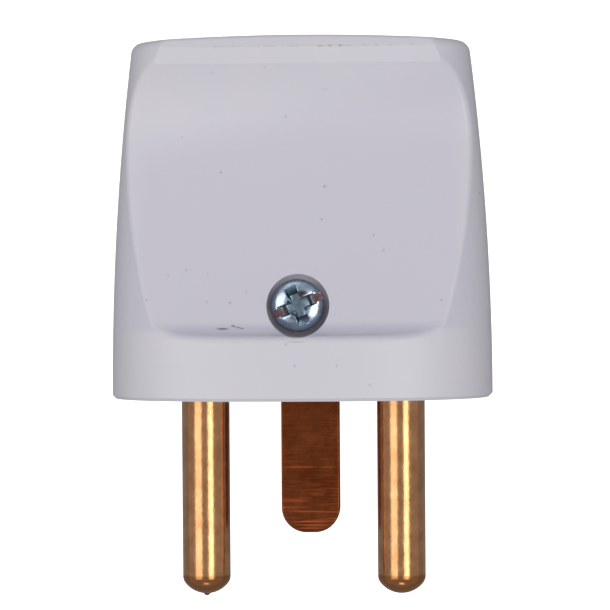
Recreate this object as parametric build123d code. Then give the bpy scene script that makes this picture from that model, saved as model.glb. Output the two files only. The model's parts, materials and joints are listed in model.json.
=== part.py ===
from build123d import *
from math import asin, atan2, copysign, cos, degrees, pi, radians, sin, sqrt, tan
import os

# Electrical plug, millimetres. It is drawn standing on the axis of its pins: X runs across
# the face, Z runs along the pins with 0 at the face they come out of, and -Y is the screw
# side. At the end every piece is laid down on the plug's back, screw side up.

# Barrel of the body
body_height = 52.3
base_half_width = 27.7
side_radius = 415.0
base_half_depth = 17.0
depth_taper = 0.078
section_power = 2.8
section_points = 36
section_count = 4
top_radius = 350.0
top_edge_radius = 1.6
base_edge_chamfer = 0.45

# Grip panel scooped out of the front and the back
ledge_height = 9.3
ledge_fillet = 2.8
slant_angle = 13.4
waist_depth = 6.55
waist_height = 39.6
waist_radius = 14.0
crease_rise = 2.95
lip_inset = 7.1
lip_bottom_drop = 4.1
lip_top_drop = 1.7
crown_angle = 25.0
crown_edge_radius = 0.8
panel_edge_radius = 1.2

# Walls and the joint between the covers
wall = 2.0
base_wall = 3.0
cavity_roundness = 0.85
joint_gap = 0.02
tongue_height = 0.9
tongue_inset = 1.1
tongue_clearance = 0.08
partition_thickness = 1.0
partition_distance = 8.4
partition_top = 22.0

# Round pins with pillar terminals
pin_diameter = 7.0
pin_spacing = 28.6
pin_length = 28.9
tip_radius = 4.0
tip_shoulder = 1.7
nib_radius = 0.9
nib_end_radius = 0.2
nib_height = 0.3
neck_diameter = 6.2
pin_clearance = 0.05
collar_diameter = 10.6
collar_thickness = 1.8
collar_rib = 1.6
head_diameter = 9.0
head_top = 16.0
head_chamfer = 0.5
wire_bore = 4.2
wire_bore_depth = 8.0
terminal_height = 11.5

# Earth blade
blade_width = 8.6
blade_thickness = 2.5
blade_length = 20.4
blade_end_radius = 3.7
blade_offset = 0.8
blade_depth = 5.5
blade_clearance = 0.05
blade_edge_radius = 0.25
tail_width = 14.4
tail_top = 27.4
tail_corner = 2.0
earth_terminal_height = 23.4
pad_thickness = 1.4
pad_distance = 5.2

# Cover screw and its insert
screw_height = 13.5
screw_diameter = 4.0
screw_length = 18.0
screw_head_diameter = 7.5
screw_head_height = 2.5
screw_head_rim = 1.1
screw_head_recess = 0.6
cross_span = 4.6
cross_width = 1.1
cross_depth = 1.7
slot_depth = 0.95
slot_angle = 21.0
screw_hole = 4.4
counterbore_diameter = 9.0
boss_diameter = 12.6
post_diameter = 9.4
post_clearance = 0.2
insert_diameter = 6.0
insert_length = 6.0
thread_clearance = 0.05

# Terminal screws and the washer of the earth terminal
terminal_screw_diameter = 3.5
terminal_screw_head = 5.6
terminal_head_height = 2.0
hidden_head_chamfer = 0.4
shank_chamfer = 0.5
terminal_slot_width = 0.9
pillar_screw_length = 5.0
pillar_screw_gap = 1.4
earth_screw_length = 4.0
washer_size = 6.8
washer_thickness = 1.0
washer_hole = 3.8

# Cord entry and saddle
inlet_diameter = 9.0
cord_diameter = 8.0
cord_rib_drop = 7.8
cord_rib_thickness = 1.4
cord_rib_width = 20.0
saddle_height = 30.0
saddle_width = 4.0
saddle_thickness = 1.6
saddle_screw_spacing = 19.0
saddle_foot = 6.4
saddle_post_diameter = 5.6
saddle_screw_diameter = 2.9
saddle_screw_head = 5.4
saddle_head_height = 1.8
saddle_screw_length = 7.0
saddle_screw_hole = 3.3
saddle_slot_width = 0.8

# Lines worked out from the sizes above
lip_depth = base_half_depth - lip_inset
lip_bottom = body_height - lip_bottom_drop
lip_top = body_height - lip_top_drop
cord_rib_height = body_height - cord_rib_drop
inlet_start = cord_rib_height - cord_rib_thickness
slope = tan(radians(slant_angle))
slant_end = waist_depth + waist_radius * (1 - cos(radians(slant_angle)))
slant_top = waist_height - waist_radius * sin(radians(slant_angle))
seat_depth = slant_end + (slant_top - screw_height) * slope - screw_head_recess - screw_head_height
tail_front = blade_depth - blade_thickness / 2
tail_back = blade_depth + blade_thickness / 2
reach = 2 * base_half_width


def half_width(z):
    return base_half_width - side_radius + sqrt(side_radius**2 - z**2)


def half_depth(z):
    return base_half_depth - depth_taper * z


def superellipse_point(angle, across, deep):
    """Point on a rounded oblong curve with the given half sizes."""
    power = 2 / section_power
    x = across * copysign(abs(cos(angle)) ** power, cos(angle))
    y = deep * copysign(abs(sin(angle)) ** power, sin(angle))
    return x, y


def barrel():
    """Tapered barrel of rounded oblong sections, taller than the body."""
    top = body_height + 1
    angles = [2 * pi * k / section_points for k in range(section_points)]
    sections = []
    for i in range(section_count):
        z = top * i / (section_count - 1)
        points = [superellipse_point(a, half_width(z), half_depth(z)) for a in angles]
        outline = Spline(*points, periodic=True)
        sections.append(Pos(0, 0, z) * make_face(outline))
    return loft(sections)


def arch(inset):
    """Everything under the arched top, moved down by inset."""
    top = body_height - inset
    side = top - top_radius + sqrt(top_radius**2 - reach**2)
    outline = Polyline((-reach, side), (-reach, -1), (reach, -1), (reach, side))
    outline += ThreePointArc((reach, side), (0, top), (-reach, side))
    return extrude(Plane.XZ * make_face(outline), reach, both=True)


def grip_cut(inset):
    """Air before the ledge, the slanted panel, the waist, the lip and the crown."""
    corner_depth = slant_end + (slant_top - ledge_height) * slope
    waist = (waist_depth, waist_height)
    crease = (waist_depth + crease_rise, lip_bottom)
    crown_top = body_height + 3
    crown_depth = lip_depth - (crown_top - lip_top) * tan(radians(crown_angle))
    outline = Polyline(
        (slant_end, slant_top), (corner_depth, ledge_height), (reach, ledge_height),
        (reach, crown_top), (crown_depth, crown_top), (lip_depth, lip_top), crease,
    )
    outline += TangentArc(waist, crease, tangent=(0, 1))
    outline += TangentArc(waist, (slant_end, slant_top), tangent=(0, -1))
    face = make_face(outline)
    corner = face.vertices().sort_by_distance((corner_depth, ledge_height))[0]
    face = fillet(corner, ledge_fillet)
    if inset:
        face = offset(face, inset, kind=Kind.INTERSECTION)
    side_view = Plane(origin=(0, 0, 0), x_dir=(0, -1, 0), z_dir=(-1, 0, 0))
    return extrude(side_view * face, reach, both=True)


def both_sides(cutter):
    return cutter + mirror(cutter, Plane.XZ)


def panel_rim(solid):
    """Edges where the barrel's skin meets the two grip panels, below the lip."""
    rim = []
    for edge in solid.edges():
        box = edge.bounding_box()
        one_side = box.min.Y * box.max.Y > 0
        on_panel = box.min.Z > ledge_height - 0.1 and box.max.Z < lip_bottom + 0.1
        curved = box.size.Y > 0.1
        if one_side and on_panel and curved:
            rim.append(edge)
    return rim


def crown_rim(solid):
    """Edges where the sloping crown meets the arched top."""
    rim = []
    for edge in solid.edges():
        box = edge.bounding_box()
        across = box.size.X > base_half_width
        above = box.min.Z > lip_top + 0.1
        if across and above and box.min.Y * box.max.Y > 0:
            rim.append(edge)
    return rim


def body_form():
    """Outer form of the whole body, without its cavity."""
    form = barrel() & arch(0)
    form = fillet(form.edges().sort_by(Axis.Z)[-1], top_edge_radius)
    form = chamfer(form.edges().sort_by(Axis.Z)[0], base_edge_chamfer)
    form -= both_sides(grip_cut(0))
    form = fillet(panel_rim(form), panel_edge_radius)
    return fillet(crown_rim(form), crown_edge_radius)


def inner_form(inset):
    """A plainer form inside the skin by inset, for the cavity and the joint."""
    sections = []
    for z in (base_wall, body_height + 1):
        across = half_width(z) - inset
        deep = half_depth(z) - inset
        outline = RectangleRounded(2 * across, 2 * deep, cavity_roundness * deep)
        sections.append(Pos(0, 0, z) * outline)
    return (loft(sections, ruled=True) & arch(inset)) - both_sides(grip_cut(inset))


def half_space(side):
    """Box over the front half for side -1, over the rear half for side 1."""
    return Pos(0, side * reach / 2, body_height / 2) * Box(2 * reach, reach, 2 * body_height)


def across_rod(diameter, start, end, x, z):
    """Round bar along Y from depth start to depth end."""
    rod = Cylinder(diameter / 2, abs(end - start))
    return Pos(x, (start + end) / 2, z) * Rot(90, 0, 0) * rod


def upright_rod(diameter, start, end, x, y):
    """Round bar along Z from height start to height end."""
    return Pos(x, y, (start + end) / 2) * Cylinder(diameter / 2, end - start)


def block(x, y, z):
    """Box given by its limits along each axis."""
    size = Box(x[1] - x[0], y[1] - y[0], z[1] - z[0])
    return Pos((x[0] + x[1]) / 2, (y[0] + y[1]) / 2, (z[0] + z[1]) / 2) * size


def tongue(clearance):
    """Low wall inside the joint, standing from the rear cover into the front one."""
    ring = inner_form(tongue_inset - clearance) - cavity
    height = tongue_height + clearance
    band = block((-reach, reach), (-height, joint_gap), (base_wall + wall, body_height))
    entry = upright_rod(inlet_diameter + 2 * wall, lip_bottom, body_height + 1, 0, 0)
    return (ring & band) - entry


def dividers(side):
    """Partitions beside the earth, ribs over the pin collars and ribs round the cord."""
    depth = (joint_gap, reach)
    rib_bottom = base_wall + collar_thickness + pin_clearance
    rib_top = rib_bottom + collar_rib
    ribs = block(
        (-cord_rib_width / 2, cord_rib_width / 2), depth,
        (cord_rib_height, cord_rib_height + cord_rib_thickness),
    )
    for x in (-1, 1):
        inner = x * (partition_distance - partition_thickness / 2)
        outer = x * (partition_distance + partition_thickness / 2)
        ribs += block(sorted((inner, outer)), depth, (base_wall, partition_top))
        ribs += block(sorted((outer, x * reach)), depth, (rib_bottom, rib_top))
    for x in (-pin_spacing / 2, pin_spacing / 2):
        ribs -= upright_rod(head_diameter + 2 * pin_clearance, base_wall, partition_top, x, 0)
    ribs -= upright_rod(inlet_diameter, inlet_start, body_height, 0, 0)
    return ribs if side > 0 else mirror(ribs, Plane.XZ)


def entries():
    """Holes for the pins, the blade and the cord."""
    holes = upright_rod(inlet_diameter, inlet_start, body_height + 1, 0, 0)
    for x in (-pin_spacing / 2, pin_spacing / 2):
        holes += upright_rod(neck_diameter + 2 * pin_clearance, -1, base_wall + 1, x, 0)
    half = blade_width / 2 + blade_clearance
    holes += block(
        (blade_offset - half, blade_offset + half),
        (tail_front - blade_clearance, tail_back + blade_clearance),
        (-1, base_wall + 1),
    )
    return holes


def make_front_cover():
    """Front shell with the grip panel, the screw's counterbore and its boss."""
    boss = across_rod(boss_diameter, -reach, tail_front - blade_clearance, 0, screw_height)
    inside = (dividers(-1) & half_space(-1)) + boss
    inside &= cavity
    cover = (shell & half_space(-1)) - tongue(tongue_clearance) + inside - entries()
    cover -= across_rod(counterbore_diameter, -reach, -seat_depth, 0, screw_height)
    return cover - across_rod(screw_hole, -reach, reach, 0, screw_height)


def make_rear_cover():
    """Rear shell with the screw post, the saddle posts and the pads under the blade."""
    inside = dividers(1)
    inside += across_rod(post_diameter, tail_front - blade_clearance, reach, 0, screw_height)
    inside += block(
        (-saddle_screw_spacing / 2, saddle_screw_spacing / 2),
        (saddle_thickness / 2 + joint_gap, reach),
        (saddle_height - cord_rib_thickness / 2, saddle_height + cord_rib_thickness / 2),
    )
    inside -= upright_rod(cord_diameter, tail_top, waist_height, 0, 0)
    for x in (-1, 1):
        pad = x * pad_distance
        limits = (pad - pad_thickness / 2, pad + pad_thickness / 2)
        inside += block(limits, (tail_back, reach), (base_wall, tail_top - pad_thickness))
        inside += across_rod(
            saddle_post_diameter, saddle_thickness / 2 + joint_gap, reach,
            x * saddle_screw_spacing / 2, saddle_height,
        )
    inside &= cavity
    cover = (shell & half_space(1)) + tongue(0) + inside - entries()
    bottom = tail_front - blade_clearance + insert_length + joint_gap
    cover -= across_rod(insert_diameter + 2 * joint_gap, -1, bottom, 0, screw_height)
    screw_tip = screw_length - seat_depth
    cover -= across_rod(screw_hole, -1, screw_tip + joint_gap, 0, screw_height)
    for x in (-1, 1):
        cover -= across_rod(
            saddle_screw_diameter + 2 * thread_clearance, -1,
            saddle_screw_length - saddle_thickness / 2 + joint_gap,
            x * saddle_screw_spacing / 2, saddle_height,
        )
    return cover


def make_pin(x):
    """Turned pin: domed tip, neck in the base wall, trapped collar, bored and tapped head."""
    radius = pin_diameter / 2
    neck = neck_diameter / 2
    collar_bottom = base_wall + joint_gap
    collar_top = collar_bottom + collar_thickness
    tip_centre = tip_radius - pin_length
    corner = (radius, tip_centre - sqrt(tip_radius**2 - radius**2))
    tip = CenterArc((0, tip_centre), tip_radius, 270, degrees(asin(radius / tip_radius)))
    outline = Polyline(
        corner, (radius, -joint_gap), (neck, -joint_gap), (neck, collar_bottom),
        (collar_diameter / 2, collar_bottom), (collar_diameter / 2, collar_top),
        (head_diameter / 2, collar_top), (head_diameter / 2, head_top - head_chamfer),
        (head_diameter / 2 - head_chamfer, head_top), (0, head_top), (0, -pin_length),
    )
    face = make_face(outline + tip)
    face = fillet(face.vertices().sort_by_distance(corner)[0], tip_shoulder)
    pin = revolve(Plane.XZ * face, Axis.Z)
    pin -= upright_rod(wire_bore, head_top - wire_bore_depth, head_top + 1, 0, 0)
    thread = terminal_screw_diameter + 2 * thread_clearance
    pin -= across_rod(thread, -head_diameter, 0, 0, terminal_height)
    return Pos(x, 0, 0) * pin


def make_line_pin():
    """The live pin, with the small nib left on its tip where it was cut from the bar."""
    pin = make_pin(-pin_spacing / 2)
    nib = Cone(nib_radius, nib_end_radius, 2 * nib_height)
    return pin + Pos(-pin_spacing / 2, 0, -pin_length) * Rot(180, 0, 0) * nib


def make_earth_blade():
    """Stamped plate: narrow blade with a round end, wide tail held round the screw post."""
    left = blade_offset - blade_width / 2
    right = blade_offset + blade_width / 2
    side = tail_width / 2
    face = make_face(Polyline(
        (left, -blade_length), (left, base_wall), (-side, base_wall), (-side, tail_top),
        (side, tail_top), (side, base_wall), (right, base_wall), (right, -blade_length),
        close=True,
    ))
    face = fillet(face.vertices().sort_by(Axis.Y)[:2], blade_end_radius)
    face = fillet(face.vertices().sort_by(Axis.Y)[-2:], tail_corner)
    plate = extrude(Plane.XZ * face, blade_thickness / 2, both=True)
    visible = [
        edge for edge in plate.edges()
        if edge.bounding_box().size.Y < 0.01 and edge.center().Z < 0
    ]
    plate = fillet(visible, blade_edge_radius)
    plate = Pos(0, blade_depth, 0) * plate
    hole = post_diameter + 2 * post_clearance
    plate -= across_rod(hole, 0, reach, 0, screw_height)
    thread = terminal_screw_diameter + 2 * thread_clearance
    return plate - across_rod(thread, 0, reach, 0, earth_terminal_height)


def add_shank(head, diameter, length):
    """Join a head that stands above 0 to a shank along Z with a chamfered end."""
    shank = Pos(0, 0, -length / 2) * Cylinder(diameter / 2, length)
    return head + chamfer(shank.edges().sort_by(Axis.Z)[0], shank_chamfer)


def slotted_screw(diameter, length, head_diameter, head_height, slot_width):
    """Hidden screw: a flat head with a chamfered rim and one slot to half its height."""
    head = Pos(0, 0, head_height / 2) * Cylinder(head_diameter / 2, head_height)
    head = chamfer(head.edges().sort_by(Axis.Z)[-1], hidden_head_chamfer)
    head -= Pos(0, 0, head_height) * Box(2 * head_diameter, slot_width, head_height)
    return add_shank(head, diameter, length)


def facing_front(piece, x, depth, z):
    """Turn a piece drawn along Z so that it faces the screw side at a given depth."""
    return Plane(origin=(x, depth, z), x_dir=(1, 0, 0), z_dir=(0, -1, 0)) * piece


def make_cover_screw():
    """Pan head with a crossed recess and a slot across the whole head through two arms."""
    rise = screw_head_height - screw_head_rim
    crown_radius = (screw_head_diameter**2 / 4 + rise**2) / (2 * rise)
    head = Pos(0, 0, screw_head_height / 2) * Cylinder(screw_head_diameter / 2, screw_head_height)
    head &= Pos(0, 0, screw_head_height - crown_radius) * Sphere(crown_radius)
    recess = Box(cross_span, cross_width, 2 * cross_depth)
    recess += Box(cross_width, cross_span, 2 * cross_depth)
    recess += Box(2 * screw_head_diameter, cross_width, 2 * slot_depth)
    head -= Pos(0, 0, screw_head_height) * Rot(0, 0, slot_angle) * recess
    screw = add_shank(head, screw_diameter, screw_length)
    return facing_front(screw, 0, -seat_depth, screw_height)


def make_cover_insert():
    """Tapped insert moulded into the post of the rear cover."""
    start = tail_front - blade_clearance
    insert = across_rod(insert_diameter, start, start + insert_length, 0, screw_height)
    return insert - across_rod(
        screw_diameter + 2 * thread_clearance, 0, reach, 0, screw_height
    )


def make_terminal_screw(length, x, depth, z):
    screw = slotted_screw(
        terminal_screw_diameter, length, terminal_screw_head, terminal_head_height,
        terminal_slot_width,
    )
    return facing_front(screw, x, depth, z)


def make_pillar_screw(x):
    """Clamping screw of a pin, its head clear of the pin's round head."""
    depth = -head_diameter / 2 - pillar_screw_gap
    return make_terminal_screw(pillar_screw_length, x, depth, terminal_height)


def make_earth_washer():
    washer = Box(washer_size, washer_size, washer_thickness)
    washer -= Cylinder(washer_hole / 2, washer_thickness)
    depth = tail_front - washer_thickness / 2 - joint_gap
    return facing_front(washer, 0, depth, earth_terminal_height)


def make_cord_clamp():
    """Saddle strap: a half ring over the cord with a flat foot at each side."""
    inner = cord_diameter / 2
    ring = Circle(inner + saddle_thickness) - Circle(inner)
    ring &= Pos(0, -reach / 2 + saddle_thickness / 2) * Rectangle(2 * reach, reach)
    foot_end = saddle_screw_spacing / 2 + saddle_foot / 2
    feet = Rectangle(2 * foot_end, saddle_thickness) - Circle(inner + saddle_thickness / 2)
    strap = extrude(ring + feet, saddle_width / 2, both=True)
    strap = Pos(0, 0, saddle_height) * strap
    for x in (-saddle_screw_spacing / 2, saddle_screw_spacing / 2):
        strap -= across_rod(saddle_screw_hole, -reach, reach, x, saddle_height)
    return strap


def make_clamp_screws():
    screw = slotted_screw(
        saddle_screw_diameter, saddle_screw_length, saddle_screw_head, saddle_head_height,
        saddle_slot_width,
    )
    depth = -saddle_thickness / 2 - joint_gap
    places = (-saddle_screw_spacing / 2, saddle_screw_spacing / 2)
    return Compound([facing_front(screw, x, depth, saddle_height) for x in places])


cavity = inner_form(wall)
shell = body_form() - cavity

pieces = {
    "front_cover": make_front_cover(),
    "rear_cover": make_rear_cover(),
    "cover_screw": make_cover_screw(),
    "cover_insert": make_cover_insert(),
    "line_pin": make_line_pin(),
    "neutral_pin": make_pin(pin_spacing / 2),
    "earth_blade": make_earth_blade(),
    "line_terminal_screw": make_pillar_screw(-pin_spacing / 2),
    "neutral_terminal_screw": make_pillar_screw(pin_spacing / 2),
    "earth_terminal_screw": make_terminal_screw(
        earth_screw_length, 0, tail_front - washer_thickness - 2 * joint_gap,
        earth_terminal_height,
    ),
    "earth_washer": make_earth_washer(),
    "cord_clamp": make_cord_clamp(),
    "cord_clamp_screws": make_clamp_screws(),
}

# The plug lies on the skirt and the lip of its rear cover, so its axis leans a little
rest_tilt = degrees(atan2(base_half_depth - lip_depth, lip_top))
lying = {name: Rot(-90 - rest_tilt, 0, 0) * piece for name, piece in pieces.items()}
box = Compound(list(lying.values())).bounding_box()
to_origin = Pos(0, -box.center().Y, -box.min.Z)

os.makedirs("parts", exist_ok=True)
for name, piece in lying.items():
    export_step(to_origin * piece, f"parts/{name}.step")
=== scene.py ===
import json
from math import atan2, cos, pi, radians, sin, tan

import bpy
from mathutils import Matrix, Vector


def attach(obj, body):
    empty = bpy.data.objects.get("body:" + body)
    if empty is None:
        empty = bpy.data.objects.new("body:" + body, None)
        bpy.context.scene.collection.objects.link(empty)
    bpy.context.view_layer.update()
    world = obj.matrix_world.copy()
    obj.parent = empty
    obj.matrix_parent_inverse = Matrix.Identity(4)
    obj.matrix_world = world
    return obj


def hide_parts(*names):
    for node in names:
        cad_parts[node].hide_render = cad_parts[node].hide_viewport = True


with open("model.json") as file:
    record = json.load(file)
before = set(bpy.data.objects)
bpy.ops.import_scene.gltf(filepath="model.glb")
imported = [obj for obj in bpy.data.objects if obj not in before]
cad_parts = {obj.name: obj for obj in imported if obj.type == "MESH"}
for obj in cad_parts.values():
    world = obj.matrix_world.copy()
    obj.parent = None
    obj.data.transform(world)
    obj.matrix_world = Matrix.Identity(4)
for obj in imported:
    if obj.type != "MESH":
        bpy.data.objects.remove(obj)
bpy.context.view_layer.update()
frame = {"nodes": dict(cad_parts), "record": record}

# Moulded covers
# Two half shells of white thermoset plastic, moulded with a satin skin and joined at the
# middle plane. Use has left grey specks on the front, smudges above the ledge and dirt in the
# crease of the lip.

# The plug lies on its back, so its own axes lean a little in the part's frame: across to the
# right, along to the cord entry, and out of the screw side. All are read from the two pins.
mounts = {m["name"]: m for m in frame["record"]["mounts"]}
left_pin = Vector(mounts["line_pin_end"]["pos_m"])
right_pin = Vector(mounts["neutral_pin_end"]["pos_m"])
face_centre = (left_pin + right_pin) / 2
across = (right_pin - left_pin).normalized()
along = -Vector(mounts["line_pin_end"]["axis"]).normalized()
outward = across.cross(along)
lean = atan2(outward.y, outward.z)
mm = 0.001


def smooth_node(name, angle=35):
    """Shade a solid of the frame smooth, apart from its sharp edges."""
    node = frame["nodes"][name]
    bpy.ops.object.select_all(action="DESELECT")
    node.select_set(True)
    bpy.context.view_layer.objects.active = node
    bpy.ops.object.shade_smooth_by_angle(angle=radians(angle))
    return node


def give_finish(piece, material):
    """Give a piece one material in place of what it had."""
    piece.data.materials.clear()
    piece.data.materials.append(material)


def start_finish(name):
    """New material, with its tree and its shader."""
    material = bpy.data.materials.new(name)
    material.use_nodes = True
    return material, material.node_tree, material.node_tree.nodes["Principled BSDF"]


def add(tree, kind, inputs, **settings):
    """Add a node with its settings, each input set to a value or linked to a socket."""
    node = tree.nodes.new(kind)
    for setting, value in settings.items():
        setattr(node, setting, value)
    for name, value in inputs.items():
        if isinstance(value, bpy.types.NodeSocket):
            tree.links.new(value, node.inputs[name])
        else:
            node.inputs[name].default_value = value
    return node


def node_group(name, inputs, outputs):
    """Empty node group, with the sockets that it is given and those that it fills."""
    group = bpy.data.node_groups.new(name, "ShaderNodeTree")
    for way, sockets in (("INPUT", inputs), ("OUTPUT", outputs)):
        for socket, kind in sockets.items():
            group.interface.new_socket(socket, in_out=way, socket_type="NodeSocket" + kind)
    given = group.nodes.new("NodeGroupInput").outputs
    filled = group.nodes.new("NodeGroupOutput").inputs
    return group, given, filled


plug_space, _, filled = node_group("plug_space", {}, {"Place": "Vector"})
source = add(plug_space, "ShaderNodeTexCoord", {})
turned = add(plug_space, "ShaderNodeMapping", {
    "Vector": source.outputs["Object"],
    "Scale": (1000, 1000, 1000),
    "Rotation": (lean, 0, 0),
    "Location": Matrix.Rotation(lean, 3, "X") @ face_centre * -1000,
})
plug_space.links.new(turned.outputs["Vector"], filled["Place"])


def plug_place(tree):
    """Millimetres along the plug's own axes, the same for every material."""
    return add(tree, "ShaderNodeGroup", {}, node_tree=plug_space).outputs["Place"]


def plug_axes(tree, place):
    """The three parts of a place: across, along and outward."""
    return add(tree, "ShaderNodeSeparateXYZ", {"Vector": place}).outputs


mottle_group, given, filled = node_group(
    "mottling",
    {
        "Place": "Vector", "Stretch": "Vector",
        "Scale": "Float", "Detail": "Float", "Roughness": "Float",
    },
    {"Amount": "Float"},
)
stretched = add(mottle_group, "ShaderNodeMapping", {
    "Vector": given["Place"], "Scale": given["Stretch"],
})
texture = add(mottle_group, "ShaderNodeTexNoise", {
    "Vector": stretched.outputs["Vector"],
    "Scale": given["Scale"],
    "Detail": given["Detail"],
    "Roughness": given["Roughness"],
})
mottle_group.links.new(texture.outputs["Fac"], filled["Amount"])


def mottling(tree, place, scale, detail, roughness=0.5, stretch=(1, 1, 1)):
    """Noise whose scale is per millimetre, stretched along the plug's axes."""
    return add(tree, "ShaderNodeGroup", {
        "Place": place, "Stretch": stretch,
        "Scale": scale, "Detail": detail, "Roughness": roughness,
    }, node_tree=mottle_group).outputs["Amount"]


def shades(tree, value, stops):
    """Colours for a value, given as (position, colour) stops."""
    ramp = add(tree, "ShaderNodeValToRGB", {"Fac": value})
    elements = ramp.color_ramp.elements
    while len(elements) > 1:
        elements.remove(elements[-1])
    elements[0].position, elements[0].color = stops[0][0], (*stops[0][1], 1)
    for position, colour in stops[1:]:
        elements.new(position).color = (*colour, 1)
    return ramp.outputs["Color"]


def greys(low, dark, high, light):
    """Stops from one grey to another."""
    return [(low, (dark, dark, dark)), (high, (light, light, light))]


def reckon(tree, operation, first, second=0):
    """Work out a value from two others, each a socket or a number."""
    return add(tree, "ShaderNodeMath", {0: first, 1: second}, operation=operation).outputs["Value"]


def every(tree, first, *others):
    """Mask that is one where all of the given ones are."""
    for other in others:
        first = reckon(tree, "MULTIPLY", first, other)
    return first


def either(tree, first, *others):
    """Mask that is one where any of the given ones is."""
    for other in others:
        first = reckon(tree, "MAXIMUM", first, other)
    return first


def fade(tree, value, edge, beyond):
    """Smooth step from one at the edge value to nothing beyond it."""
    return add(tree, "ShaderNodeMapRange", {
        "Value": value, "From Min": edge, "From Max": beyond, "To Min": 1, "To Max": 0,
    }, interpolation_type="SMOOTHSTEP").outputs["Result"]


def near(tree, value, centre, edge, beyond):
    """Mask that is one within the edge distance of a centre value."""
    distance = reckon(tree, "ABSOLUTE", reckon(tree, "SUBTRACT", value, centre))
    return fade(tree, distance, edge, beyond)


def lay_over(tree, mask, base, colour):
    """Lay a colour over another where the mask is one."""
    node = add(tree, "ShaderNodeMix", {}, data_type="RGBA")
    tree.links.new(mask, node.inputs["Factor"])
    tree.links.new(base, node.inputs["A"])
    node.inputs["B"].default_value = (*colour, 1)
    return node.outputs["Result"]


def roughen(tree, shader, height, strength, depth):
    """Raise and sink a skin by up to a depth in metres."""
    node = add(tree, "ShaderNodeBump", {"Height": height, "Strength": strength, "Distance": depth})
    tree.links.new(node.outputs["Normal"], shader.inputs["Normal"])


oval_group, given, filled = node_group(
    "oval_mark",
    {"Place": "Vector", "Centre": "Vector", "Half Size": "Vector", "Strength": "Float"},
    {"Mask": "Float"},
)
flat = add(oval_group, "ShaderNodeVectorMath", {
    0: given["Place"], 1: (1, 1, 0),
}, operation="MULTIPLY")
offset = add(oval_group, "ShaderNodeVectorMath", {
    0: flat.outputs["Vector"], 1: given["Centre"],
}, operation="SUBTRACT")
shares = add(oval_group, "ShaderNodeVectorMath", {
    0: offset.outputs["Vector"], 1: given["Half Size"],
}, operation="DIVIDE")
length = add(oval_group, "ShaderNodeVectorMath", {0: shares.outputs["Vector"]}, operation="LENGTH")
spot = fade(oval_group, length.outputs["Value"], 0.3, 1.2)
oval_group.links.new(every(oval_group, spot, given["Strength"]), filled["Mask"])


def oval_mark(tree, place, x, y, half_length, half_width, strength):
    """Oval mark on the front, blurred at its edge."""
    return add(tree, "ShaderNodeGroup", {
        "Place": place, "Centre": (x, y, 0), "Half Size": (half_length, half_width, 1),
        "Strength": strength,
    }, node_tree=oval_group).outputs["Mask"]


white_plastic, tree, skin = start_finish("white_plastic")
skin.inputs["Roughness"].default_value = 0.38
skin.inputs["IOR"].default_value = 1.5
place = plug_place(tree)
x_mm, y_mm, z_mm = plug_axes(tree, place)
blotches = mottling(tree, place, 0.09, 3)
tone = shades(tree, blotches, [(0.35, (0.765, 0.752, 0.762)), (0.65, (0.785, 0.764, 0.770))])
on_front = reckon(tree, "GREATER_THAN", z_mm, 0)
from_middle = reckon(tree, "ABSOLUTE", x_mm)

# Painted shade: the grip panel is a shade greyer and bluer than the crown and the skirt, up to a
# slanting edge, as it gets less direct light.
panel_shade_grey = (0.716, 0.697, 0.74)
edge_slope = 0.27
above_slope = reckon(tree, "SUBTRACT", y_mm, reckon(tree, "MULTIPLY", x_mm, edge_slope))
below_crown = fade(tree, above_slope, 37, 47)
above_ledge = fade(tree, y_mm, 10.6, 9.4)
panel_shade_mask = every(tree, below_crown, on_front, above_ledge, fade(tree, from_middle, 21, 27))
tone = lay_over(tree, panel_shade_mask, tone, panel_shade_grey)

# Painted shade in the hollow over the ledge, darker and bluer.
ledge_shade_grey = (0.60, 0.61, 0.70)
ledge_line = 9.9
ledge_shade = every(
    tree, near(tree, y_mm, ledge_line, 0.3, 1.5), on_front, fade(tree, from_middle, 16, 21), 0.6
)
tone = lay_over(tree, ledge_shade, tone, ledge_shade_grey)

# Specks are given as across, along, radius and strength, and smudges with two half sizes.
specks = [
    (-16.05, 18.65, 0.22, 0.28), (-21.72, 14.42, 0.22, 0.31), (-18.62, 17.96, 0.2, 0.25),
    (-12.89, 18.06, 0.2, 0.22), (-7.43, 15.47, 0.2, 0.25), (-9.7, 13.93, 0.25, 0.31),
    (-12.99, 14.09, 0.22, 0.25), (-1.85, 40.64, 0.25, 0.25), (3.77, 30.52, 0.28, 0.37),
    (-11.19, 32.65, 0.24, 0.37), (3.36, 25.8, 0.24, 0.28), (10.8, 23.46, 0.22, 0.25),
    (12.23, 21.31, 0.22, 0.25), (20.47, 14.17, 0.24, 0.28), (-0.25, 5.08, 0.25, 0.25),
    (5.67, 5.05, 0.22, 0.25), (10.31, 2.34, 0.22, 0.25), (-12.31, 46.97, 0.2, 0.15),
    (-4.67, 47.59, 0.2, 0.15), (25.94, 29.38, 0.25, 0.25), (-16.9, 37.8, 0.2, 0.22),
]
smudges = [
    (-10.7, 10.27, 1.0, 0.17, 0.85), (-9.2, 10.66, 0.4, 0.16, 0.8), (-8.5, 10.45, 0.5, 0.13, 0.6),
    (-7.95, 10.3, 0.4, 0.12, 0.7), (0.0, 8.45, 1.7, 0.16, 0.22), (-1.5, 8.1, 0.3, 0.25, 0.2),
    (3.9, 44.5, 0.5, 0.12, 0.15),
]
spot_grey = (0.16, 0.14, 0.15)
spots = [oval_mark(tree, place, x, y, size, size, strength) for x, y, size, strength in specks]
spots += [oval_mark(tree, place, *smudge) for smudge in smudges]
tone = lay_over(tree, every(tree, either(tree, *spots), on_front), tone, spot_grey)

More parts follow.
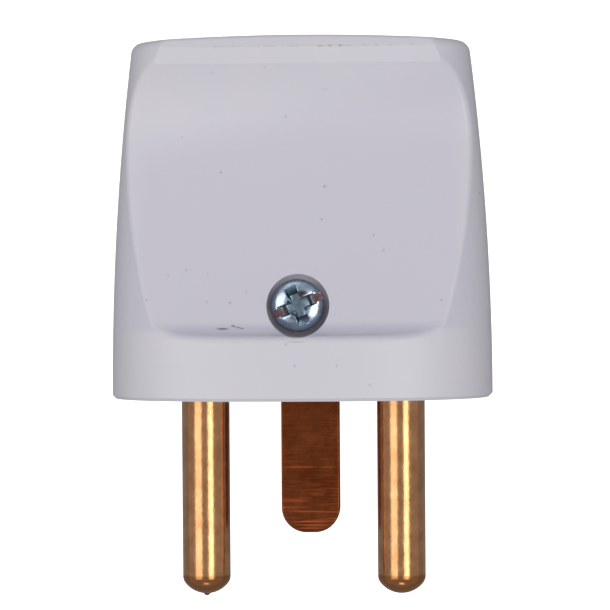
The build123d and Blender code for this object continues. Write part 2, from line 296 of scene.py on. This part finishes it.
# Dirt in the crease of the lip, in patches and three darker dashes.
lip_grey = (0.2, 0.18, 0.2)
lip_line = 50.62
patches = mottling(tree, place, 1.3, 3, stretch=(1, 0.1, 0.1))
patchy = shades(tree, patches, greys(0.45, 0.02, 0.7, 0.24))
dashes = [
    oval_mark(tree, place, 3.4, lip_line, 0.6, 0.3, 0.35),
    oval_mark(tree, place, 4.7, lip_line, 0.4, 0.3, 0.45),
    oval_mark(tree, place, 6.2, lip_line, 0.35, 0.3, 0.55),
]
crease = every(
    tree, near(tree, y_mm, lip_line, 0.05, 0.2), either(tree, patchy, *dashes), on_front,
    fade(tree, from_middle, 15, 19),
)
tone = lay_over(tree, crease, tone, lip_grey)

# Painted shade in the counterbore round the screw, darkest on its lower side.
well_shade_grey = (0.36, 0.335, 0.385)
well_radius = 4.5
screw_height = 13.5
around = add(tree, "ShaderNodeVectorMath", {
    0: place, 1: (1, 1, 0), 2: (0, -screw_height, 0),
}, operation="MULTIPLY_ADD")
from_screw = add(tree, "ShaderNodeVectorMath", {0: around.outputs["Vector"]}, operation="LENGTH")
in_well = fade(tree, from_screw.outputs["Value"], well_radius - 0.08, well_radius + 0.06)
low_side = fade(tree, y_mm, 11.5, 17.8)
well_shade_weight = reckon(tree, "ADD", reckon(tree, "MULTIPLY", low_side, 0.9), 0.1)
tone = lay_over(tree, every(tree, in_well, well_shade_weight, on_front), tone, well_shade_grey)

seam_grey = (0.3, 0.29, 0.31)
tone = lay_over(tree, near(tree, z_mm, 0, 0.03, 0.09), tone, seam_grey)
tree.links.new(tone, skin.inputs["Base Color"])
roughen(tree, skin, mottling(tree, place, 1.1, 3), 0.12, 0.04 * mm)

for name in ("front_cover", "rear_cover"):
    cover = smooth_node(name, 50)
    give_finish(cover, white_plastic)
    evened = cover.modifiers.new("even shading", "WEIGHTED_NORMAL")
    evened.keep_sharp = True

# Cord clamp
# A saddle strap of the same moulded plastic, held down over the cord by two screws. It is
# hidden inside the covers.
give_finish(smooth_node("cord_clamp"), white_plastic)

# Round pins
# Turned from brass bar with domed ends, and left bright: the skin is slightly pitted, a thin
# film of handling lies over the shanks, and the domes are painted a darker brown as painted shade.
pin_brass, tree, metal = start_finish("pin_brass")
metal.inputs["Metallic"].default_value = 1.0
metal.inputs["Coat Roughness"].default_value = 0.08
place = plug_place(tree)
y_mm = plug_axes(tree, place)["Y"]
stain = mottling(tree, place, 0.5, 5)
tone = shades(tree, stain, [(0.3, (0.57, 0.265, 0.09)), (0.7, (0.76, 0.385, 0.155))])
# painted shade: the domes are coloured a darker brown
dome_shade_brown = (0.40, 0.165, 0.055)
dome = fade(tree, y_mm, -26.3, -25.9)
tone = lay_over(tree, every(tree, dome, 0.8), tone, dome_shade_brown)
tree.links.new(tone, metal.inputs["Base Color"])
film = every(tree, reckon(tree, "SUBTRACT", 1, dome), 0.7)
tree.links.new(film, metal.inputs["Coat Weight"])
dull = shades(tree, mottling(tree, place, 1.5, 4), greys(0.35, 0.14, 0.7, 0.24))
tree.links.new(dull, metal.inputs["Roughness"])
roughen(tree, metal, mottling(tree, place, 2.2, 3, 0.6), 0.65, 0.03 * mm)
for name in ("line_pin", "neutral_pin"):
    give_finish(smooth_node(name), pin_brass)

# Earth blade
# Stamped from copper strip with a round end and a wide tail inside. Use has drawn fine
# scratches across it, thickest near the end, and their bright glint is painted highlight in the
# colour.
blade_copper, tree, metal = start_finish("blade_copper")
metal.inputs["Metallic"].default_value = 1.0
metal.inputs["Roughness"].default_value = 0.3
place = plug_place(tree)
y_mm = plug_axes(tree, place)["Y"]
stain = mottling(tree, place, 0.35, 6, 0.6)
tone = shades(tree, stain, [(0.3, (0.13, 0.030, 0.008)), (0.7, (0.25, 0.066, 0.02))])
# real scratches, with their bright glint painted into the colour as painted highlight
hairs = mottling(tree, place, 4.0, 3, 0.7, stretch=(0.05, 1, 0.05))
hairline_glint = shades(tree, hairs, greys(0.52, 0, 0.68, 0.8))
rubbed = either(tree, fade(tree, y_mm, -18.5, -8.0), 0.3)
scratch_glints = [every(tree, hairline_glint, rubbed)]

# Scratches are given as along, centre across, half length and strength.
scratch_glint_red = (0.58, 0.13, 0.04)
scratch_half_width = 0.14
for along_mm, centre, half_length, strength in [
    (-10.7, -0.9, 3.0, 0.8), (-10.75, 3.4, 1.4, 0.5), (-15.7, -1.6, 2.6, 0.8),
    (-17.3, 0.6, 3.9, 0.8), (-18.8, 0.8, 3.6, 1.0), (-19.3, 1.2, 3.0, 1.0),
    (-19.75, 0.8, 2.2, 0.9),
]:
    scratch_glints.append(
        oval_mark(tree, place, centre, along_mm, half_length, scratch_half_width, strength)
    )
tone = lay_over(tree, either(tree, *scratch_glints), tone, scratch_glint_red)
tree.links.new(tone, metal.inputs["Base Color"])
ridges = mottling(tree, place, 6.0, 3, 0.6, stretch=(0.06, 1, 0.06))
roughen(tree, metal, ridges, 0.4, 0.03 * mm)
give_finish(smooth_node("earth_blade"), blade_copper)

# Cover screw
# Pan-head machine screw, M4, plated with blue zinc. Its head has a crossed recess with one
# slot across the whole head through two of its arms, and years of turning have left the slot
# rusty at its ends.
bpy.ops.object.select_all(action="DESELECT")
screw_seat = 9.276
screw_offset = -0.15
slot_angle = radians(22)

# rings of the turned shape, as radius and height over the seat
rings = [
    (1.4, -18.0), (2.0, -17.4), (2.0, 0.0), (3.75, 0.0), (3.75, 1.15), (3.69, 1.48), (3.54, 1.73),
    (3.28, 1.93), (2.85, 2.1), (2.15, 2.28), (1.2, 2.42), (0.5, 2.46),
]
bpy.ops.mesh.primitive_circle_add(
    vertices=72, radius=rings[0][0] * mm, fill_type="NGON", location=(0, 0, rings[0][1] * mm)
)
screw = bpy.context.object
screw.name = "pan_head_screw"
bpy.ops.object.transform_apply(location=True, rotation=False, scale=False)
bpy.ops.object.mode_set(mode="EDIT")
bpy.ops.mesh.select_all(action="SELECT")
for (before, low), (after, high) in zip(rings, rings[1:]):
    bpy.ops.mesh.extrude_region_move(TRANSFORM_OT_translate={"value": (0, 0, (high - low) * mm)})
    ratio = after / before
    bpy.ops.transform.resize(value=(ratio, ratio, 1), center_override=(0, 0, high * mm))
bpy.ops.mesh.select_all(action="SELECT")
bpy.ops.mesh.normals_make_consistent(inside=False)
bpy.ops.object.mode_set(mode="OBJECT")


def plug_point(x, y, z):
    """A place given in millimetres along the plug's own axes, in the part's frame."""
    return face_centre + across * (x * mm) + along * (y * mm) + outward * (z * mm)


def cut_out(piece, cutter):
    """Take a cutter's shape out of a piece and drop the cutter."""
    bpy.context.view_layer.objects.active = piece
    boolean = piece.modifiers.new("cut", "BOOLEAN")
    boolean.operation = "DIFFERENCE"
    boolean.solver = "EXACT"
    boolean.object = cutter
    bpy.ops.object.modifier_apply(modifier=boolean.name)
    bpy.data.objects.remove(cutter)


def tapered_bar(length, width, depth, turn, narrow):
    """Bar down from above the head, its lower face narrowed to a share of its upper one."""
    top = 2.8
    bpy.ops.mesh.primitive_cube_add(size=mm, location=(0, 0, (top - depth / 2) * mm))
    bar = bpy.context.object
    bpy.ops.object.mode_set(mode="EDIT")
    bpy.ops.transform.resize(value=(length, width, depth))
    bpy.ops.object.mode_set(mode="OBJECT")
    for face in bar.data.polygons:
        face.select = face.normal.z < -0.5
    for line in bar.data.edges:
        line.select = all(bar.data.vertices[i].co.z < 0 for i in line.vertices)
    for corner in bar.data.vertices:
        corner.select = corner.co.z < 0
    bpy.ops.object.mode_set(mode="EDIT")
    bpy.ops.transform.resize(value=(narrow[0], narrow[1], 1))
    bpy.ops.object.mode_set(mode="OBJECT")
    bar.rotation_euler = (0, 0, turn)
    return bar


# the slot, the two bars of the cross and the hollow where they meet
cut_out(screw, tapered_bar(9.0, 1.25, 1.9, slot_angle, narrow=(1, 0.9)))
for turn in (slot_angle, slot_angle + pi / 2):
    cut_out(screw, tapered_bar(6.5, 1.85, 2.8, turn, narrow=(0.5, 0.6)))
bpy.ops.mesh.primitive_cone_add(
    vertices=32, radius1=0.75 * mm, radius2=1.7 * mm, depth=2.5 * mm, location=(0, 0, 1.5 * mm)
)
cut_out(screw, bpy.context.object)
bevel = screw.modifiers.new("soft edges", "BEVEL")
bevel.width = 0.09 * mm
bevel.segments = 2
bevel.limit_method = "ANGLE"
bevel.angle_limit = radians(35)
bpy.ops.object.select_all(action="DESELECT")
screw.select_set(True)
bpy.context.view_layer.objects.active = screw
bpy.ops.object.modifier_apply(modifier=bevel.name)
screw_pose = Matrix((across, along, outward)).transposed().to_4x4()
screw_pose.translation = plug_point(screw_offset, screw_height, screw_seat)
screw.matrix_world = screw_pose
bpy.ops.object.transform_apply(location=True, rotation=True, scale=True)
bpy.ops.object.shade_smooth_by_angle(angle=radians(35))

zinc_steel, tree, metal = start_finish("zinc_steel")
metal.inputs["Metallic"].default_value = 1.0
place = plug_place(tree)
stain = mottling(tree, place, 0.9, 4)
zinc_tone = shades(tree, stain, [(0.3, (0.40, 0.53, 0.62)), (0.7, (0.58, 0.68, 0.75))])
tree.links.new(zinc_tone, metal.inputs["Base Color"])
dull = shades(tree, mottling(tree, place, 2.0, 3), greys(0.35, 0.18, 0.7, 0.32))
tree.links.new(dull, metal.inputs["Roughness"])

# The cover screw's own finish adds painted shade in the recess, two worn spots and the rust.
rusty_zinc = zinc_steel.copy()
rusty_zinc.name = "rusty_zinc"
tree = rusty_zinc.node_tree
metal = tree.nodes["Principled BSDF"]
tone = metal.inputs["Base Color"].links[0].from_socket
place = plug_place(tree)
z_mm = plug_axes(tree, place)["Z"]
recess_shade_teal = (0.13, 0.19, 0.21)
# painted shade: darker deeper in the recess
recess_shade_depth = fade(tree, z_mm, screw_seat + 0.7, screw_seat + 1.7)
tone = lay_over(tree, every(tree, recess_shade_depth, 0.65), tone, recess_shade_teal)
worn_brown = (0.10, 0.07, 0.065)
worn = either(
    tree,
    oval_mark(tree, place, 0.55, screw_height + 1.75, 1.1, 0.55, 1.0),
    oval_mark(tree, place, -0.6, screw_height - 1.8, 0.8, 0.4, 0.55),
)
tone = lay_over(tree, worn, tone, worn_brown)
rust_red = (0.19, 0.06, 0.05)
rust_radius = 0.85
rust = []
for reach in (-3.35, -2.6, 2.6, 3.35):
    x = reach * cos(slot_angle)
    y = screw_height + reach * sin(slot_angle)
    rust.append(oval_mark(tree, place, x, y, rust_radius, rust_radius, 1.0))
in_slot = fade(tree, z_mm, screw_seat + 1.45, screw_seat + 1.95)
spatter = shades(tree, mottling(tree, place, 2.5, 3), greys(0.35, 0.7, 0.5, 1))
rust = every(tree, either(tree, *rust), in_slot, spatter)
tone = lay_over(tree, rust, tone, rust_red)
tree.links.new(tone, metal.inputs["Base Color"])
tree.links.new(reckon(tree, "SUBTRACT", 1, rust), metal.inputs["Metallic"])
give_finish(screw, rusty_zinc)
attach(screw, "root")
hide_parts("cover_screw")

# Terminal and clamp screws
# Small slotted screws of the same plated steel, all hidden inside the covers: three clamp the
# wires, and two hold the cord clamp down.
screws = [
    "line_terminal_screw", "neutral_terminal_screw", "earth_terminal_screw", "cord_clamp_screws",
]
for name in screws:
    give_finish(smooth_node(name), zinc_steel)

# Insert and washer
# Plain brass, inside the covers: the insert is moulded into the rear post, and the washer lies
# under the earth terminal's screw.
plain_brass, tree, metal = start_finish("plain_brass")
metal.inputs["Metallic"].default_value = 1.0
metal.inputs["Roughness"].default_value = 0.35
place = plug_place(tree)
stain = mottling(tree, place, 0.5, 3)
tone = shades(tree, stain, [(0.3, (0.66, 0.46, 0.20)), (0.7, (0.78, 0.58, 0.28))])
tree.links.new(tone, metal.inputs["Base Color"])
for name in ("cover_insert", "earth_washer"):
    give_finish(smooth_node(name), plain_brass)

# Floor
# A plain white table. It looks white to the camera, and the plug's metal sees it dark, as
# when a small thing is photographed on a lit sheet far below it.
bpy.ops.object.select_all(action="DESELECT")
bpy.ops.mesh.primitive_plane_add(size=6, location=(0, 0, 0))
floor = bpy.context.object
floor.name = "floor"
floor_white, tree, lit = start_finish("floor_white")
lit.inputs["Base Color"].default_value = (0.8, 0.8, 0.8, 1)
lit.inputs["Roughness"].default_value = 0.9
lit.inputs["Emission Color"].default_value = (1, 1, 1, 1)
lit.inputs["Emission Strength"].default_value = 1.0
dark = add(tree, "ShaderNodeBsdfDiffuse", {"Color": (0.36, 0.36, 0.36, 1)})
path = add(tree, "ShaderNodeLightPath", {})
seen = add(tree, "ShaderNodeMixShader", {
    "Fac": path.outputs["Is Camera Ray"], 1: dark.outputs["BSDF"], 2: lit.outputs["BSDF"],
})
tree.links.new(seen.outputs["Shader"], tree.nodes["Material Output"].inputs["Surface"])
floor.data.materials.append(floor_white)

# Camera
# Square over the screw side, a little to the right and towards the cord entry, from half a
# metre away. The scale in the middle of the picture is the pins' 7 mm over 48 pixels.
distance = 0.5
pixels_per_mm = 6.84
picture = 610
yaw = radians(3.0)
pitch = radians(1.3)
roll = radians(-0.4)
aim = plug_point(0.38, 13.3, 0)
gaze = (outward + across * tan(yaw) + along * tan(pitch)).normalized()
right = along.cross(gaze).normalized()
up = gaze.cross(right)
turned_right = right * cos(roll) + up * sin(roll)
turned_up = up * cos(roll) - right * sin(roll)
camera_data = bpy.data.cameras.new("camera")
camera = bpy.data.objects.new("camera", camera_data)
bpy.context.scene.collection.objects.link(camera)
pose = Matrix((turned_right, turned_up, gaze)).transposed().to_4x4()
pose.translation = aim + gaze * distance
camera.matrix_world = pose
camera_data.sensor_width = 36
camera_data.lens = 36 * pixels_per_mm * distance / mm / picture
camera_data.clip_start = 0.01
bpy.context.scene.camera = camera


# Lights
# A broad soft box to the left, a narrow bright one to the right, a weak near one over the
# crown, a small one low down for the domes of the pins, and a bluish fill all round.
def soft_box(name, side_angle, height_angle, reach, width, height, power):
    """White area light aimed at the plug from angles measured off the screw side's normal."""
    centre = plug_point(0, 10, 0)
    way = outward + across * tan(radians(side_angle)) + along * tan(radians(height_angle))
    way.normalize()
    data = bpy.data.lights.new(name, "AREA")
    data.shape = "RECTANGLE"
    data.size = width
    data.size_y = height
    data.energy = power
    lamp = bpy.data.objects.new(name, data)
    bpy.context.scene.collection.objects.link(lamp)
    side = along.cross(way).normalized()
    lamp_pose = Matrix((side, way.cross(side), way)).transposed().to_4x4()
    lamp_pose.translation = centre + way * reach
    lamp.matrix_world = lamp_pose


# angles to the side and up, reach, width, height and power
soft_box("left_box", -34, 0, 1.2, 0.70, 0.9, 3.0)
soft_box("right_box", 26, 0, 1.2, 0.48, 0.9, 3.7)
soft_box("near_glow", -20, 50, 0.28, 0.15, 0.15, 0.035)
soft_box("low_spot", 0, -66, 1.2, 0.3, 0.3, 0.6)
world = bpy.data.worlds.new("studio")
bpy.context.scene.world = world
world.use_nodes = True
fill = world.node_tree.nodes["Background"]
fill.inputs["Color"].default_value = (0.875, 0.87, 1.0, 1)
fill.inputs["Strength"].default_value = 0.415
bpy.context.scene.view_settings.view_transform = "Standard"
